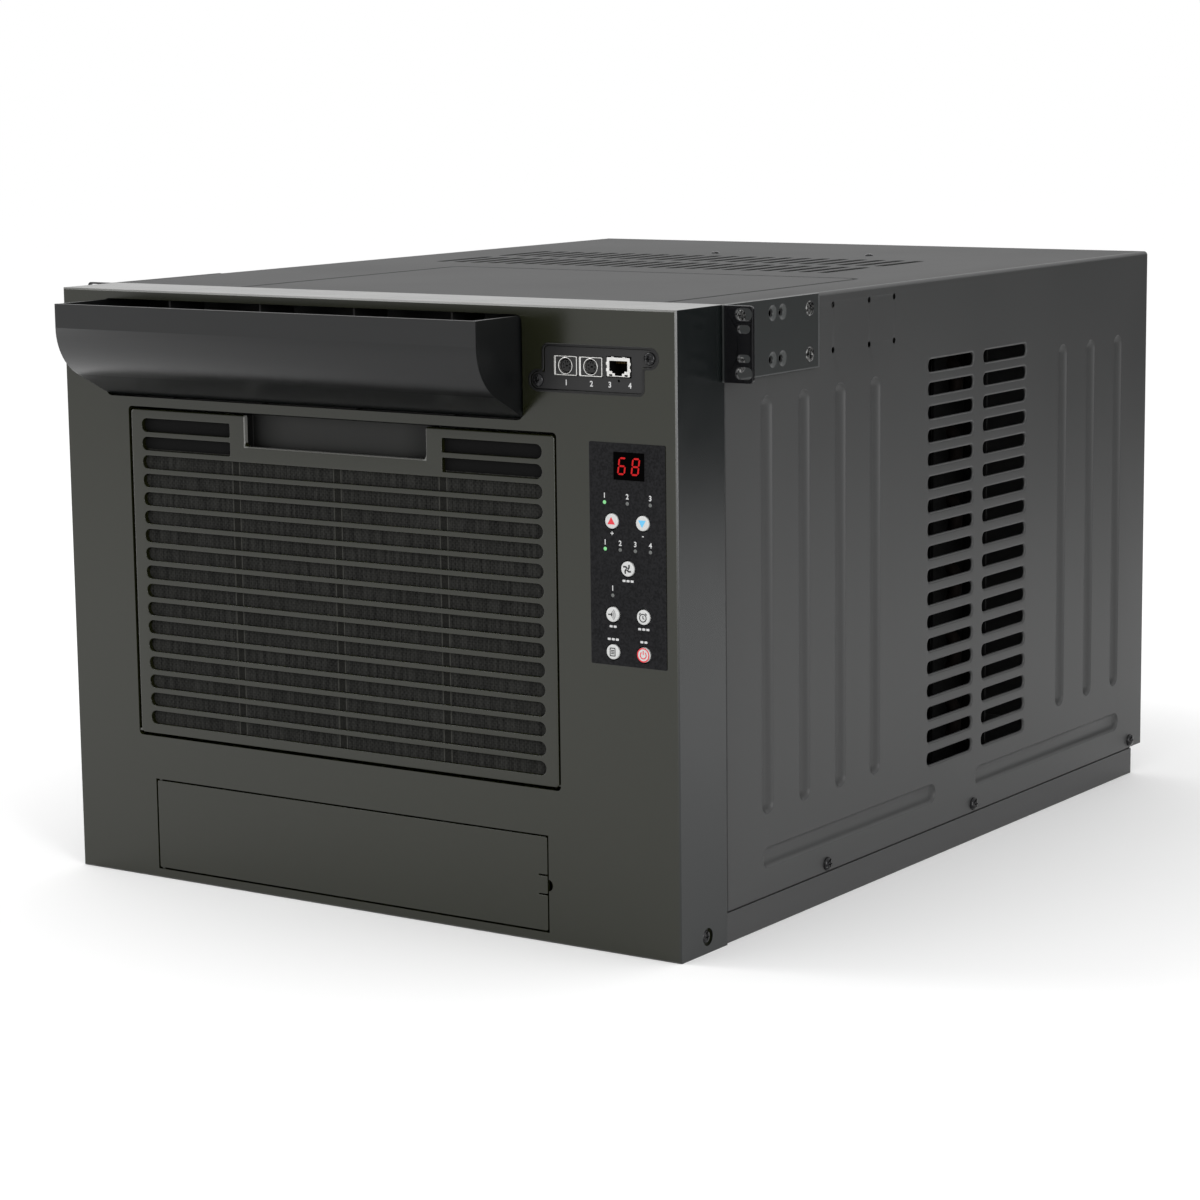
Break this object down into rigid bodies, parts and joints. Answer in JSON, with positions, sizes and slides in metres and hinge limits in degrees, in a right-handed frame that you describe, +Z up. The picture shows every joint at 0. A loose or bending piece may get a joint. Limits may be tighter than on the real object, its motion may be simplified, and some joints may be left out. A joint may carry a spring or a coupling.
{
  "type": "rack-mounted air conditioner",
  "caption": "Eight-unit rack air conditioner: moulded bezel with intake grille, curved outlet scoop and keypad on a vented, ribbed sheet-metal case with rack ears.",
  "frame": {"origin": "on the floor under the middle of the unit's overall box", "axes": "+X to the right seen from the front, +Y to the back, +Z up; the bezel faces -Y"},
  "size_m": [0.4764, 0.624, 0.354],
  "materials": {
    "bezel_plastic": "moulded, very fine texture",
    "scoop_plastic": "satin black moulding",
    "grille_plastic": "moulded, very fine texture",
    "filter_plastic": "matt black frame",
    "filter_weave": "fine black woven mesh",
    "duct_plastic": "matt black",
    "port_steel": "satin black paint",
    "socket_plastic": "black insulator in a pale rim",
    "jack_shield": "bright tinned shield",
    "overlay_film": "fine textured dark film",
    "display_lens": "smoked window",
    "light_lens": "small clear lens",
    "button_cap": "near-white cap",
    "case_paint": "satin dark grey powder coat",
    "ear_paint": "satin black paint",
    "tray_paint": "satin dark grey powder coat",
    "fin_aluminium": "bare fin stock",
    "coil_plate": "plain galvanised sheet",
    "tube_copper": "drawn copper tube",
    "shroud_plastic": "black moulding"
  },
  "bodies": {
    "unit": {"front_bezel": "bezel_plastic", "outlet_duct": "duct_plastic", "outlet_vanes": "duct_plastic", "air_scoop": "scoop_plastic", "card_plate": "port_steel", "round_sockets": "socket_plastic", "network_jack": "jack_shield", "control_overlay": "overlay_film", "display_window": "display_lens", "indicator_lights": "light_lens", "case_right_side": "case_paint", "case_left_side": "case_paint", "case_top": "case_paint", "rack_ear_right": "ear_paint", "rack_ear_left": "ear_paint", "base_tray": "tray_paint", "rear_panel": "case_paint", "condenser_fins": "fin_aluminium", "coil_end_plates": "coil_plate", "return_bends": "tube_copper", "fan_shroud": "shroud_plastic"},
    "grille": {"intake_grille": "grille_plastic", "finger_cup": "grille_plastic", "filter_frame": "filter_plastic", "filter_mesh": "filter_weave"},
    "cover": {"lower_cover": "grille_plastic"},
    "warmer": {"warmer_button": "button_cap"},
    "cooler": {"cooler_button": "button_cap"},
    "speed": {"speed_button": "button_cap"},
    "quiet": {"quiet_button": "button_cap"},
    "timer": {"timer_button": "button_cap"},
    "function": {"function_button": "button_cap"},
    "power": {"power_button": "button_cap"}
  },
  "joints": [
    {"name": "grille_tilt", "type": "hinge", "parent": "unit", "child": "grille", "pos_m": [-0.0141, -0.2684, 0.0899], "axis": [1, 0, 0], "range_deg": [0, 70]},
    {"name": "cover_swing", "type": "hinge", "parent": "unit", "child": "cover", "pos_m": [-0.1537, -0.2682, 0.03325], "axis": [0, 0, -1], "range_deg": [0, 100]},
    {"name": "warmer_press", "type": "slide", "parent": "unit", "child": "warmer", "axis": [0, 1, 0], "range_m": [0, 0.001], "stiffness_N_per_m": 800},
    {"name": "cooler_press", "type": "slide", "parent": "unit", "child": "cooler", "axis": [0, 1, 0], "range_m": [0, 0.001], "stiffness_N_per_m": 800},
    {"name": "speed_press", "type": "slide", "parent": "unit", "child": "speed", "axis": [0, 1, 0], "range_m": [0, 0.001], "stiffness_N_per_m": 800},
    {"name": "quiet_press", "type": "slide", "parent": "unit", "child": "quiet", "axis": [0, 1, 0], "range_m": [0, 0.001], "stiffness_N_per_m": 800},
    {"name": "timer_press", "type": "slide", "parent": "unit", "child": "timer", "axis": [0, 1, 0], "range_m": [0, 0.001], "stiffness_N_per_m": 800},
    {"name": "function_press", "type": "slide", "parent": "unit", "child": "function", "axis": [0, 1, 0], "range_m": [0, 0.001], "stiffness_N_per_m": 800},
    {"name": "power_press", "type": "slide", "parent": "unit", "child": "power", "axis": [0, 1, 0], "range_m": [0, 0.001], "stiffness_N_per_m": 800}
  ]
}
